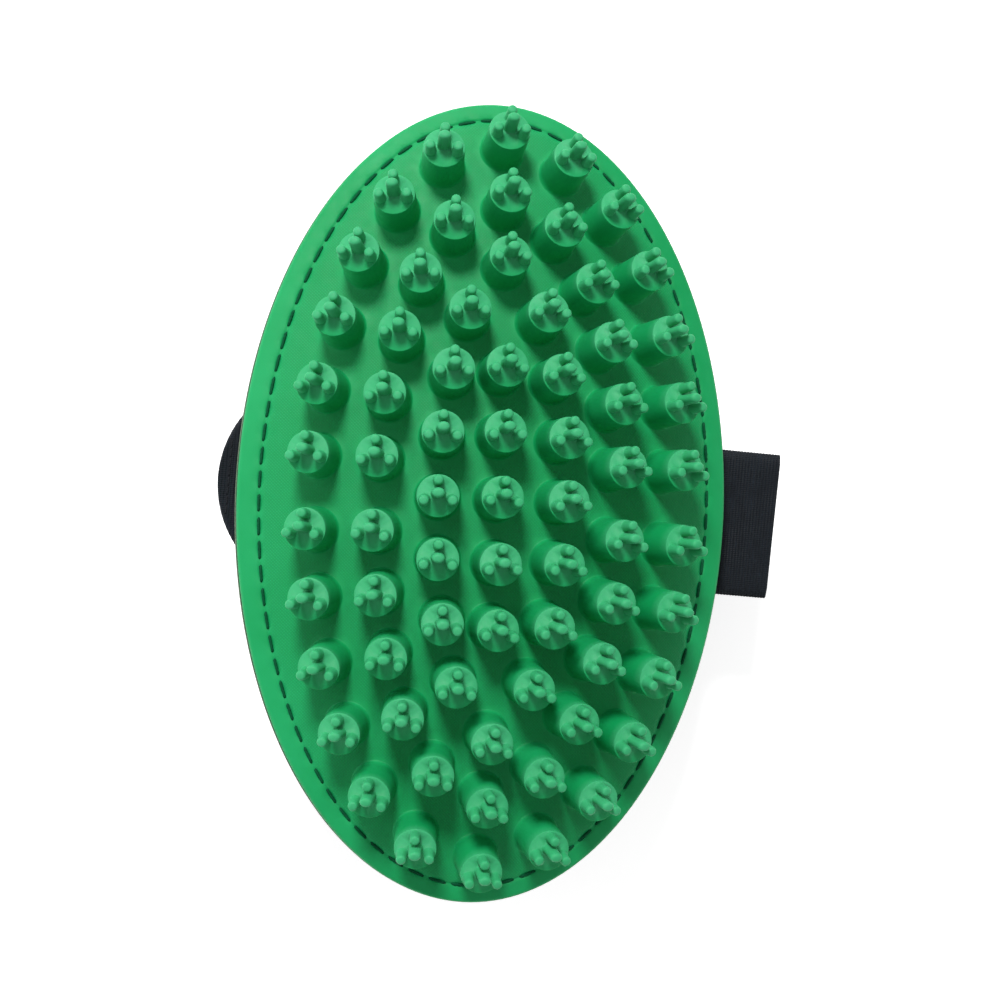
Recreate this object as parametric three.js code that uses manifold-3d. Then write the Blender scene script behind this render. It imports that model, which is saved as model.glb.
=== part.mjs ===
// Hand-held rubber massage curry comb with a hook-and-loop hand strap.
//
// Frame, in millimetres: +Z is the side with the rubber pegs, +Y runs along the
// long axis of the oval pad and +X along its short axis. The comb lies on its
// back: the origin is the middle of the flat crown of the hand strap, so the
// plane z = 0 is the surface that the comb rests on.

import * as THREE from 'three';
import { mergeVertices } from 'three/addons/utils/BufferGeometryUtils.js';
import Module from 'manifold-3d';

const wasm = await Module();
wasm.setup();

// Driving dimensions ---------------------------------------------------------

// Oval pad
const HALF_WIDTH = 52.5; // short half axis of the rubber face
const HALF_LENGTH = 85; // long half axis of the rubber face
const COVER_LIP = 0.2; // the back cover shows this far past the rubber
const COVER_THICK = 2;
const RIM_THICK = 2.6; // rubber at its very edge
const DOME_RISE = 13; // middle of the face above its edge
const CORE_EDGE = 0.88; // edge of the foam core, as a part of the pad's half axes
const WALL_MID = 3; // rubber over the middle of the foam core
const LAYER_GAP = 0.2; // clearance between layers that are sewn together
const PAD_BACK_Z = 34; // underside of the back cover, above the rest plane

// Pegs, moulded in one piece with the rubber face
const PEG_BASE_RADIUS = 4.8;
const PEG_TIP_RADIUS = 4.35;
const PEG_HEIGHT = 9.5;
const PEG_ROOT = 1.6; // depth of the peg inside the wall, for the join
const FINGER_RADIUS = 1.1;
const FINGER_TIP_RADIUS = 1;
const FINGER_HEIGHT = 3.6; // the three at the rim
const MIDDLE_FINGER_HEIGHT = 5.6;
const FINGER_SINK = 0.6;
// The long middle finger, then the three at the rim, on the post's end
const FINGER_SPOTS = [
  { x: 0, y: 0.45 },
  { x: 0, y: 3.05 },
  { x: -2.9, y: -0.95 },
  { x: 2.9, y: -0.95 },
];
const POST_SIDES = 8;
const FINGER_SIDES = 5;
// Each ring is an ellipse, moved a little to the right by shift. Its pegs are
// spread apart at the waist and its two end pegs reach out past the ellipse.
const PEG_RINGS = [
  { halfWidth: 36.5, halfLength: 74.4, count: 26, shift: 0.2, spread: 0.8, reach: 0 },
  { halfWidth: 24, halfLength: 61, count: 22, shift: 0.3, spread: 1.1, reach: 0 },
  { halfWidth: 12.4, halfLength: 46.3, count: 16, shift: 0.4, spread: 0, reach: 2 },
];
const MIDDLE_ROW_COUNT = 5;
const MIDDLE_ROW_PITCH = 13;

// Lockstitch seam round the pad
const SEAM_INSET_X = 4.6; // from the rubber's edge, at the sides
const SEAM_INSET_Y = 3.8; // from the rubber's edge, at the ends
const SEAM_THREAD = 0.7; // thread diameter
const SEAM_CLEAR = 0.3; // between the bobbin thread and its groove in the back cover
const SEAM_STEPS = 48;
const SEAM_SIDES = 5;

// Hand strap: webbing across the back, a little askew to the pad
const STRAP_ASKEW = THREE.MathUtils.degToRad(2.7); // clockwise, seen from the pegs
const STRAP_SHIFT = 0.5; // sewn on a little off the pad's middle, across the strap
const STRAP_WIDTH = 32;
const WEB_THICK = 1.6;
const STITCH_GAP = 0.7; // room for the seam between the lower layers
const ROOT_INNER = 42; // hinge line of either strap, from the pad's middle
const LEFT_END = 56.5; // rounded end of the main strap, past the pad's edge
const RIGHT_TAIL = 66.1; // square end of the main strap
const KEEPER_OUTER = 52; // outer end of the keeper's sewn end
const HINGE_GAP = 0.4; // between a sewn end and the strap that swings on it
const CROWN_HALF = 21; // half length of the flat crown
const BEND_DROP = 9; // height of each rounded bend of the arch
const DEPART_DROP = 3; // drop to the upper bend, so the strap leaves the pad at a slope
const BEND_STEPS = 5;
const KEEPER_TIP = -10; // free end of the keeper under the crown
const TAPE_THICK = 0.9;
const TAPE_WIDTH = 28;
const TAPE_GAP = 0.25;
const TAPE_LEFT = -14; // loop tape, left end
const TAPE_RIGHT = 19; // both tapes, right end
const HOOK_LEFT = -8; // hook tape, left end

// Layers at the crown, from the rest plane up
const LOOP_Z = WEB_THICK + TAPE_GAP;
const HOOK_Z = LOOP_Z + TAPE_THICK + TAPE_GAP;
const KEEPER_Z = HOOK_Z + TAPE_THICK + TAPE_GAP;

// Heights of the pad's layers
const COVER_TOP_Z = PAD_BACK_Z + COVER_THICK;
const FACE_BASE_Z = COVER_TOP_Z + LAYER_GAP;
const RIM_TOP_Z = FACE_BASE_Z + RIM_THICK;

// Materials ------------------------------------------------------------------

function makeMaterial(color, roughness, metalness = 0) {
  return new THREE.MeshStandardMaterial({ color, roughness, metalness });
}

const rubber = makeMaterial(0x21a565, 0.5);
const foam = makeMaterial(0xd9d4c4, 0.95);
const coverCloth = makeMaterial(0x23272a, 0.85);
const seamThread = makeMaterial(0x0f3a26, 0.7);
const webbing = makeMaterial(0x1e2329, 0.8);
const loopPile = makeMaterial(0x2a2f36, 1);
const hookTape = makeMaterial(0x16191d, 0.55);
const blackThread = makeMaterial(0x101214, 0.7);

// Solids and meshes ----------------------------------------------------------

function toSolid(geometry) {
  const bare = geometry.clone();
  bare.deleteAttribute('normal');
  bare.deleteAttribute('uv');
  const merged = mergeVertices(bare, 1e-5);
  const mesh = new wasm.Mesh({
    numProp: 3,
    vertProperties: new Float32Array(merged.attributes.position.array),
    triVerts: new Uint32Array(merged.index.array),
  });
  return new wasm.Manifold(mesh);
}

function toGeometry(solid) {
  const mesh = solid.getMesh();
  const geometry = new THREE.BufferGeometry();
  geometry.setAttribute('position', new THREE.BufferAttribute(mesh.vertProperties, 3));
  geometry.setIndex(new THREE.BufferAttribute(mesh.triVerts, 1));
  geometry.computeVertexNormals();
  return geometry;
}

function makePart(name, geometry, material) {
  const mesh = new THREE.Mesh(geometry, material);
  mesh.name = name;
  return mesh;
}

// Pad ------------------------------------------------------------------------

// Height of the rubber's outer surface over its rim, where the ratio is the
// distance from the middle as a part of the pad's half axes.
function domeRise(ratio) {
  return DOME_RISE * (1 - ratio * ratio);
}

// Height of the hollow under the rubber face, over the face's flat underside.
function hollowRise(ratio) {
  const mid = DOME_RISE + RIM_THICK - WALL_MID;
  return Math.max(0, mid * (1 - (ratio / CORE_EDGE) ** 2));
}

// Turns a profile of [ratio, height] points about Z and stretches it to an oval.
function ovalLathe(profile, halfWidth, halfLength, segments) {
  const points = profile.map(([ratio, z]) => new THREE.Vector2(ratio, z));
  const geometry = new THREE.LatheGeometry(points, segments);
  geometry.rotateX(Math.PI / 2);
  geometry.scale(halfWidth, halfLength, 1);
  return geometry;
}

function domePoint(x, y) {
  const ratio = Math.hypot(x / HALF_WIDTH, y / HALF_LENGTH);
  return new THREE.Vector3(x, y, RIM_TOP_Z + domeRise(ratio));
}

function domeNormal(x, y) {
  const slopeX = (2 * DOME_RISE * x) / HALF_WIDTH ** 2;
  const slopeY = (2 * DOME_RISE * y) / HALF_LENGTH ** 2;
  return new THREE.Vector3(slopeX, slopeY, 1).normalize();
}

// Moves a ring's point away from the waist, and an end point past the ellipse.
function stretchRing(point, { halfLength, shift, spread, reach }) {
  const ratio = Math.abs(point.y) / halfLength;
  const push = spread * (1 - ratio) + reach * ratio ** 12;
  return new THREE.Vector2(point.x + shift, point.y + Math.sign(point.y) * push);
}

// Pegs at equal distances along an ellipse, clockwise from its +Y end.
function ringPoints(ring) {
  const { halfWidth, halfLength, count } = ring;
  const steps = 720;
  const at = (t) => new THREE.Vector2(halfWidth * Math.sin(t), halfLength * Math.cos(t));
  const lengths = [0];
  for (let i = 1; i <= steps; i += 1) {
    const from = at(((i - 1) / steps) * 2 * Math.PI);
    const to = at((i / steps) * 2 * Math.PI);
    lengths.push(lengths[i - 1] + from.distanceTo(to));
  }
  const points = [];
  for (let k = 0; k < count; k += 1) {
    const target = (lengths[steps] * k) / count;
    const next = Math.max(1, lengths.findIndex((length) => length >= target));
    const part = (target - lengths[next - 1]) / (lengths[next] - lengths[next - 1]);
    points.push(stretchRing(at(((next - 1 + part) / steps) * 2 * Math.PI), ring));
  }
  return points;
}

function pegPlaces() {
  const places = PEG_RINGS.flatMap(ringPoints);
  for (let k = 0; k < MIDDLE_ROW_COUNT; k += 1) {
    const y = (k - (MIDDLE_ROW_COUNT - 1) / 2) * MIDDLE_ROW_PITCH;
    places.push(new THREE.Vector2(0, y));
  }
  return places;
}

// One peg along +Z from the face's surface: a tapered post with four fingers on
// its flat end, one in the middle and three flush with its side.
function pegSolid() {
  const postHeight = PEG_HEIGHT + PEG_ROOT;
  const post = new THREE.CylinderGeometry(PEG_TIP_RADIUS, PEG_BASE_RADIUS, postHeight, POST_SIDES);
  post.rotateX(Math.PI / 2);
  post.translate(0, 0, postHeight / 2 - PEG_ROOT);
  let solid = toSolid(post);
  for (const spot of FINGER_SPOTS) {
    const visible = spot === FINGER_SPOTS[0] ? MIDDLE_FINGER_HEIGHT : FINGER_HEIGHT;
    const height = visible + FINGER_SINK;
    const finger = new THREE.CylinderGeometry(FINGER_TIP_RADIUS, FINGER_RADIUS, height, FINGER_SIDES);
    finger.rotateX(Math.PI / 2);
    finger.translate(spot.x, spot.y, PEG_HEIGHT - FINGER_SINK + height / 2);
    solid = solid.add(toSolid(finger));
  }
  return solid;
}

// Stands the peg on the dome, square to it, with its odd rim finger towards +Y.
function pegPlacement(x, y) {
  const up = domeNormal(x, y);
  const side = new THREE.Vector3(0, 1, 0).cross(up).normalize();
  const front = up.clone().cross(side);
  const matrix = new THREE.Matrix4().makeBasis(side, front, up);
  return matrix.setPosition(domePoint(x, y));
}

function faceGeometry() {
  const profile = [[0, FACE_BASE_Z + hollowRise(0)]];
  for (const ratio of [0.3, 0.5, 0.66, 0.78, CORE_EDGE]) {
    profile.push([ratio, FACE_BASE_Z + hollowRise(ratio)]);
  }
  profile.push([1, FACE_BASE_Z]);
  for (const ratio of [1, 0.9, 0.78, 0.64, 0.48, 0.3, 0.14, 0]) {
    profile.push([ratio, RIM_TOP_Z + domeRise(ratio)]);
  }
  let face = toSolid(ovalLathe(profile, HALF_WIDTH, HALF_LENGTH, 40));
  const peg = pegSolid();
  for (const place of pegPlaces()) {
    face = face.add(peg.transform(pegPlacement(place.x, place.y).elements));
  }
  return toGeometry(face);
}

function foamGeometry() {
  const edge = CORE_EDGE - 0.05;
  const profile = [[0, FACE_BASE_Z], [edge, FACE_BASE_Z]];
  for (const ratio of [edge, 0.72, 0.56, 0.38, 0.2, 0]) {
    profile.push([ratio, FACE_BASE_Z + hollowRise(ratio) - 2 * LAYER_GAP]);
  }
  return ovalLathe(profile, HALF_WIDTH, HALF_LENGTH, 48);
}

function coverGeometry() {
  const profile = [[0, PAD_BACK_Z], [1, PAD_BACK_Z], [1, COVER_TOP_Z], [0, COVER_TOP_Z]];
  const cover = toSolid(ovalLathe(profile, HALF_WIDTH + COVER_LIP, HALF_LENGTH + COVER_LIP, 60));
  return toGeometry(cover.subtract(toSolid(ringTube(BACK_SEAM, SEAM_THREAD / 2 + SEAM_CLEAR))));
}

// The line that either thread of the seam follows round the pad.
function seamPath(heightAt) {
  const points = [];
  for (let i = 0; i < SEAM_STEPS; i += 1) {
    const turn = (i / SEAM_STEPS) * 2 * Math.PI;
    const x = (HALF_WIDTH - SEAM_INSET_X) * Math.sin(turn);
    const y = (HALF_LENGTH - SEAM_INSET_Y) * Math.cos(turn);
    points.push(new THREE.Vector3(x, y, heightAt(x, y)));
  }
  return new THREE.CatmullRomCurve3(points, true);
}

const FACE_SEAM = seamPath((x, y) => domePoint(x, y).z + SEAM_THREAD / 2 + LAYER_GAP);
const BACK_SEAM = seamPath(() => PAD_BACK_Z + SEAM_THREAD / 2);

function ringTube(path, radius) {
  return new THREE.TubeGeometry(path, SEAM_STEPS, radius, SEAM_SIDES, true);
}

// Straps: shapes are drawn as (along, height) and extruded across the webbing ---

// Turns an extrusion so that the drawing's plane stands upright along the strap.
function acrossStrap(shape, width, curveSegments = 6) {
  const geometry = new THREE.ExtrudeGeometry(shape, {
    depth: width,
    bevelEnabled: false,
    curveSegments,
  });
  geometry.translate(0, 0, -width / 2);
  geometry.rotateX(Math.PI / 2);
  return geometry;
}

// The lower face of one half of the arch, from the hinge line to the flat crown.
function archPath(side, rootZ) {
  const steep = 2.5; // how far each bend reaches into the slope
  const shoulder = CROWN_HALF + (ROOT_INNER - CROWN_HALF) * 0.73;
  const foot = CROWN_HALF + (ROOT_INNER - CROWN_HALF) * 0.33;
  const upper = new THREE.QuadraticBezierCurve(
    new THREE.Vector2(side * (ROOT_INNER - HINGE_GAP), rootZ),
    new THREE.Vector2(side * shoulder, rootZ - DEPART_DROP),
    new THREE.Vector2(side * (shoulder - steep), rootZ - DEPART_DROP - BEND_DROP),
  );
  const lower = new THREE.QuadraticBezierCurve(
    new THREE.Vector2(side * (foot + steep), BEND_DROP),
    new THREE.Vector2(side * foot, 0),
    new THREE.Vector2(side * CROWN_HALF, 0),
  );
  const bends = [...upper.getPoints(BEND_STEPS), ...lower.getPoints(BEND_STEPS)];
  return bends.map((point) => [point.x, point.y]);
}

// Moves a path to its left by a distance that may change along it.
function offsetPath(points, distanceAt) {
  const last = points.length - 1;
  return points.map(([x, z], i) => {
    const [ax, az] = points[Math.max(0, i - 1)];
    const [bx, bz] = points[Math.min(last, i + 1)];
    const scale = distanceAt(i / last) / Math.hypot(bx - ax, bz - az);
    return [x - (bz - az) * scale, z + (bx - ax) * scale];
  });
}

// A strip of even thickness whose lower face follows the given points.
function stripShape(points, thick) {
  const outline = [...points, ...offsetPath(points, () => thick).reverse()];
  return new THREE.Shape(outline.map(([x, z]) => new THREE.Vector2(x, z)));
}

function boxShape(left, right, low, high) {
  const corners = [[left, low], [right, low], [right, high], [left, high]];
  return new THREE.Shape(corners.map(([x, z]) => new THREE.Vector2(x, z)));
}

const SEWN_TOP_Z = PAD_BACK_Z - LAYER_GAP;
const SEWN_LOW_Z = SEWN_TOP_Z - WEB_THICK;
const TAIL_TOP_Z = SEWN_LOW_Z - STITCH_GAP;
const TAIL_LOW_Z = TAIL_TOP_Z - WEB_THICK;

// The main strap's sewn end, with its rounded tip past the pad's edge.
function mainSewnEndGeometry() {
  const half = STRAP_WIDTH / 2;
  const bulge = 6;
  const shape = new THREE.Shape();
  shape.moveTo(-ROOT_INNER, -half);
  shape.lineTo(-ROOT_INNER, half);
  shape.lineTo(-LEFT_END + bulge, half);
  shape.bezierCurveTo(-LEFT_END + 1.5, half - 3, -LEFT_END, 7, -LEFT_END, 0);
  shape.bezierCurveTo(-LEFT_END, -7, -LEFT_END + 1.5, -half + 3, -LEFT_END + bulge, -half);
  shape.closePath();
  const geometry = new THREE.ExtrudeGeometry(shape, {
    depth: WEB_THICK,
    bevelEnabled: false,
    curveSegments: 6,
  });
  geometry.translate(0, 0, SEWN_LOW_Z);
  return geometry;
}

function keeperSewnEndGeometry() {
  return acrossStrap(boxShape(ROOT_INNER, KEEPER_OUTER, SEWN_LOW_Z, SEWN_TOP_Z), STRAP_WIDTH);
}

function mainStrapGeometry() {
  const left = archPath(-1, SEWN_LOW_Z);
  const right = archPath(1, TAIL_LOW_Z).reverse();
  const points = [...left, ...right, [RIGHT_TAIL, TAIL_LOW_Z]];
  return acrossStrap(stripShape(points, WEB_THICK), STRAP_WIDTH);
}

// The keeper follows the main strap's right half on its inner side.
function keeperStrapGeometry() {
  const lift = (part) => THREE.MathUtils.lerp(KEEPER_Z, SEWN_LOW_Z - TAIL_LOW_Z, part);
  const path = offsetPath(archPath(1, TAIL_LOW_Z).reverse(), lift);
  const points = [[KEEPER_TIP, KEEPER_Z], ...path, [ROOT_INNER - HINGE_GAP, SEWN_LOW_Z]];
  return acrossStrap(stripShape(points, WEB_THICK), STRAP_WIDTH);
}

function loopTapeGeometry() {
  const top = LOOP_Z + TAPE_THICK;
  return acrossStrap(boxShape(TAPE_LEFT, TAPE_RIGHT, LOOP_Z, top), TAPE_WIDTH);
}

function hookTapeGeometry() {
  const top = HOOK_Z + TAPE_THICK;
  return acrossStrap(boxShape(HOOK_LEFT, TAPE_RIGHT - 3, HOOK_Z, top), TAPE_WIDTH);
}

// A stitched box with a cross in it, lying flat under a sewn end.
function boxStitchGeometry(left, right, lowZ) {
  const half = STRAP_WIDTH / 2 - 3;
  const line = 0.6;
  const bars = [
    [left, right, -half, -half + line],
    [left, right, half - line, half],
    [left, left + line, -half, half],
    [right - line, right, -half, half],
  ];
  let solid = null;
  for (const [x0, x1, y0, y1] of bars) {
    const bar = new THREE.BoxGeometry(x1 - x0, y1 - y0, 0.4);
    bar.translate((x0 + x1) / 2, (y0 + y1) / 2, lowZ + 0.2);
    solid = solid ? solid.add(toSolid(bar)) : toSolid(bar);
  }
  const spanX = right - left - line;
  const spanY = 2 * half - line;
  for (const side of [1, -1]) {
    const bar = new THREE.BoxGeometry(Math.hypot(spanX, spanY), line, 0.4);
    bar.rotateZ(side * Math.atan2(spanY, spanX));
    bar.translate((left + right) / 2, 0, lowZ + 0.2);
    solid = solid.add(toSolid(bar));
  }
  return toGeometry(solid);
}

// A plain stitched frame that holds a tape on its strap.
function tapeStitchGeometry(left, right, lowZ) {
  const half = TAPE_WIDTH / 2 - 1.5;
  const line = 0.5;
  const rim = new THREE.Shape();
  rim.moveTo(left, -half);
  rim.lineTo(right, -half);
  rim.lineTo(right, half);
  rim.lineTo(left, half);
  rim.closePath();
  const hole = new THREE.Path();
  hole.moveTo(left + line, -half + line);
  hole.lineTo(left + line, half - line);
  hole.lineTo(right - line, half - line);
  hole.lineTo(right - line, -half + line);
  hole.closePath();
  rim.holes.push(hole);
  const geometry = new THREE.ExtrudeGeometry(rim, { depth: 0.12, bevelEnabled: false });
  geometry.translate(0, 0, lowZ);
  return geometry;
}

// Assembly -------------------------------------------------------------------

const comb = new THREE.Group();
comb.name = 'curry_comb';

const pad = new THREE.Group();
pad.name = 'pad';
pad.add(makePart('face_moulding', faceGeometry(), rubber));
pad.add(makePart('foam_core', foamGeometry(), foam));
pad.add(makePart('back_cover', coverGeometry(), coverCloth));
pad.add(makePart('face_seam_thread', ringTube(FACE_SEAM, SEAM_THREAD / 2), seamThread));
pad.add(makePart('back_seam_thread', ringTube(BACK_SEAM, SEAM_THREAD / 2), seamThread));
comb.add(pad);

const strap = new THREE.Group();
strap.name = 'hand_strap';
strap.rotation.z = -STRAP_ASKEW;
strap.position.x = STRAP_SHIFT * Math.sin(STRAP_ASKEW);
strap.position.y = STRAP_SHIFT * Math.cos(STRAP_ASKEW);
strap.add(makePart('main_strap_sewn_end', mainSewnEndGeometry(), webbing));
strap.add(makePart('keeper_strap_sewn_end', keeperSewnEndGeometry(), webbing));
strap.add(makePart('main_strap', mainStrapGeometry(), webbing));
strap.add(makePart('keeper_strap', keeperStrapGeometry(), webbing));
strap.add(makePart('loop_tape', loopTapeGeometry(), loopPile));
strap.add(makePart('hook_tape', hookTapeGeometry(), hookTape));
const mainBox = boxStitchGeometry(-ROOT_INNER - 9, -ROOT_INNER - 1, SEWN_LOW_Z - 0.55);
strap.add(makePart('main_box_stitch', mainBox, blackThread));
const keeperBox = boxStitchGeometry(ROOT_INNER + 1, KEEPER_OUTER - 1, SEWN_LOW_Z - 0.55);
strap.add(makePart('keeper_box_stitch', keeperBox, blackThread));
const loopFrame = tapeStitchGeometry(TAPE_LEFT + 1.5, TAPE_RIGHT - 1.5, WEB_THICK + 0.06);
strap.add(makePart('loop_tape_stitch', loopFrame, blackThread));
const hookFrame = tapeStitchGeometry(HOOK_LEFT + 1.5, TAPE_RIGHT - 4.5, KEEPER_Z - 0.18);
strap.add(makePart('hook_tape_stitch', hookFrame, blackThread));
comb.add(strap);

export default comb;
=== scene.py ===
import math

import bmesh
import bpy
import numpy as np
from mathutils import Matrix, Vector
from mathutils.geometry import delaunay_2d_cdt


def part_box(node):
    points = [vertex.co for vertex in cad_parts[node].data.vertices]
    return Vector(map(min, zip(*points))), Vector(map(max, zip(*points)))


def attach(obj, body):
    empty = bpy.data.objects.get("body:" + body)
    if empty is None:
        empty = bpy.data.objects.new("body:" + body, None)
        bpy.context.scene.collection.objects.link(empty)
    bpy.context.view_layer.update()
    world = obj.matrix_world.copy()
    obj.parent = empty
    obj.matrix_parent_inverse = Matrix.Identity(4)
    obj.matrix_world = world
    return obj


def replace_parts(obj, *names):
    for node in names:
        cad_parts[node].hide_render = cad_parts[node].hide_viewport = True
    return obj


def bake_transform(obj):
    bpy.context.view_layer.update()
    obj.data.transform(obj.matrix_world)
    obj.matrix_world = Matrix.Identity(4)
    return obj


# A hand-held rubber curry comb that lies on its back on its hand strap, so
# that its posts point up at the camera. All lengths are in metres.

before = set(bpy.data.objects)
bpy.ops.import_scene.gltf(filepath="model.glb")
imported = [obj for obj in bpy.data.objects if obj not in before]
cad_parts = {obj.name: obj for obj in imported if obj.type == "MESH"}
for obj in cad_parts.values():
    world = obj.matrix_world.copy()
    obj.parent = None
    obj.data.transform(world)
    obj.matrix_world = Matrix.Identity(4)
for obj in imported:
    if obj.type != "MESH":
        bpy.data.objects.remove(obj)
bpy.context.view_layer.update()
random = np.random.default_rng(7)

MM = 0.001

# ---- Pad, from the parts in model.glb

face_low, face_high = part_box("face_moulding")
cover_low, cover_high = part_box("back_cover")
HALF_WIDTH = face_high.x
HALF_LENGTH = face_high.y
FACE_BASE = face_low.z
COVER_BASE = cover_low.z
COVER_TOP = cover_high.z
RIM_THICK = 2.6 * MM
RIM_TOP = FACE_BASE + RIM_THICK
DOME_RISE = 13 * MM
CORE_EDGE = 0.88
WALL_MID = 3 * MM

SEAM_INSET_X = 4.6 * MM
SEAM_INSET_Y = 3.8 * MM
STITCH_COUNT = 84
THREAD = 0.72 * MM
THREAD_SIDES = 10
THREAD_TURNS = 0.55 / MM
RIM_ROUNDING = 0.7 * MM
# The seam's narrow groove and wide hollow: depth at the holes, more between them, width
GROOVE = (0.28 * MM, 0.34 * MM, 0.42 * MM)
HOLLOW = (0.10 * MM, 0.16 * MM, 1.5 * MM)
COVER_LIP = 0.22 * MM

# Each ring of posts: half width, half length, count, shift to the right, how much further
# out the posts lie near the waist, and how much further at the two ends
PEG_RINGS = (
    (36.5 * MM, 74.4 * MM, 26, 0.2 * MM, 0.8 * MM, 0.0),
    (24 * MM, 61 * MM, 22, 0.3 * MM, 1.1 * MM, 0.0),
    (12.4 * MM, 46.3 * MM, 16, 0.4 * MM, 0.0, 2 * MM),
)
MIDDLE_ROW = 5
MIDDLE_PITCH = 13 * MM
PEG_SIDES = 32
SKIRT_RADIUS = 5.05 * MM
PEG_HEIGHT = 9.5 * MM
PEG_TIP_RADIUS = 4.35 * MM
PEG_FOOT_RADIUS = 4.5 * MM
PEG_FILLET = 1.5 * MM
FILLET_TURNS = (80, 66, 52, 38, 25, 12, 0)
FINGER_SIDES = 12
FINGER_TIP_RADIUS = 1.04 * MM
FINGER_SPLAY = 0.06
# Each finger, the long middle one first: its place on the post's end, radius at its root,
# how much wider than deep it is, and length
FINGERS = (
    (0.0, 0.5 * MM, 1.2 * MM, 1.28, 5.6 * MM),
    (0.0, 3.0 * MM, 1.2 * MM, 1.0, 3.7 * MM),
    (-2.73 * MM, -0.9 * MM, 1.35 * MM, 1.0, 3.7 * MM),
    (2.73 * MM, -0.9 * MM, 1.35 * MM, 1.0, 3.7 * MM),
)

# ---- Strap, in its own frame of (along, across, up)

STRAP_ASKEW = math.radians(2.7)
ALONG = Vector((math.cos(STRAP_ASKEW), -math.sin(STRAP_ASKEW), 0))
ACROSS = Vector((math.sin(STRAP_ASKEW), math.cos(STRAP_ASKEW), 0))
STRAP_SHIFT = 0.5 * MM
STRAP_WIDTH = 32 * MM
WEB_THICK = 1.6 * MM
ROOT_INNER = 42 * MM
LEFT_END = 56.5 * MM
RIGHT_TAIL = 66.1 * MM
KEEPER_OUTER = 52 * MM
KEEPER_TIP = -10 * MM
CROWN_HALF = 21 * MM
BEND_DROP = 9 * MM
DEPART_DROP = 3 * MM
HINGE_GAP = 0.4 * MM
TAPE_THICK = 0.9 * MM
TAPE_WIDTH = 28 * MM
TAPE_GAP = 0.25 * MM
STITCH_GAP = 0.7 * MM
SEWN_LOW = COVER_BASE - 0.2 * MM - WEB_THICK
TAIL_LOW = SEWN_LOW - STITCH_GAP - WEB_THICK
LOOP_Z = WEB_THICK + TAPE_GAP
HOOK_Z = LOOP_Z + TAPE_THICK + TAPE_GAP
KEEPER_Z = HOOK_Z + TAPE_THICK + TAPE_GAP
RIB_PITCH = 0.68 * MM
RIB_RISE = 0.07 * MM
STEP = RIB_PITCH / 5
END_RADIUS = 23.4 * MM
TAIL_SKEW = 0.028


# ---- Materials


class Shader:
    """A material's node tree with a Principled surface, and short calls to add nodes."""

    def __init__(self, name, color, roughness):
        self.material = bpy.data.materials.new(name)
        self.material.use_nodes = True
        self.tree = self.material.node_tree
        self.surface = self.tree.nodes["Principled BSDF"]
        self.set(self.surface, "Base Color", (*color, 1))
        self.set(self.surface, "Roughness", roughness)
        self.place = self.add("ShaderNodeTexCoord").outputs["Object"]

    def add(self, kind, **inputs):
        node = self.tree.nodes.new(kind)
        for key, value in inputs.items():
            self.set(node, key.replace("_", " "), value)
        return node

    def set(self, node, key, value):
        socket = node.inputs[key]
        if isinstance(value, bpy.types.NodeSocket):
            self.tree.links.new(value, socket)
        else:
            socket.default_value = value

    def paint(self, **inputs):
        """Sets the Principled surface's own inputs."""
        for key, value in inputs.items():
            self.set(self.surface, key.replace("_", " "), value)

    def math(self, operation, first, second=0.0):
        node = self.add("ShaderNodeMath")
        node.operation = operation
        self.set(node, 0, first)
        self.set(node, 1, second)
        return node.outputs[0]

    def noise(self, scale, detail=3.0, roughness=0.5, place=None):
        node = self.add("ShaderNodeTexNoise", Scale=scale, Detail=detail, Roughness=roughness)
        self.set(node, "Vector", place or self.place)
        return node.outputs["Fac"]

    def ramp(self, value, low, high, first=0.0, last=1.0):
        node = self.add("ShaderNodeMapRange", From_Min=low, From_Max=high, To_Min=first, To_Max=last)
        self.set(node, "Value", value)
        return node.outputs[0]

    def mix(self, share, first, second):
        node = self.add("ShaderNodeMix")
        node.data_type = "RGBA"
        for index, value in ((0, share), (6, first), (7, second)):
            self.set(node, index, value)
        return node.outputs[2]

    def bump(self, height, strength, distance, normal=None):
        node = self.add("ShaderNodeBump", Strength=strength, Distance=distance, Height=height)
        if normal is not None:
            self.set(node, "Normal", normal)
        return node.outputs[0]

    def attribute(self, name):
        node = self.add("ShaderNodeAttribute")
        node.attribute_name = name
        return node.outputs["Fac"]

    def lattice(self, pitch, turn):
        """A woven lattice of small bumps: two sets of waves at right angles."""
        turned = self.add("ShaderNodeMapping", Rotation=(0, 0, turn), Vector=self.place)
        waves = []
        for direction in ("X", "Y"):
            wave = self.add("ShaderNodeTexWave", Scale=math.tau / 20 / pitch, Distortion=0.6)
            wave.bands_direction = direction
            self.set(wave, "Detail Scale", 0.6)
            self.set(wave, "Vector", turned.outputs[0])
            waves.append(wave.outputs["Fac"])
        return self.math("MULTIPLY", waves[0], waves[1])


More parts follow.
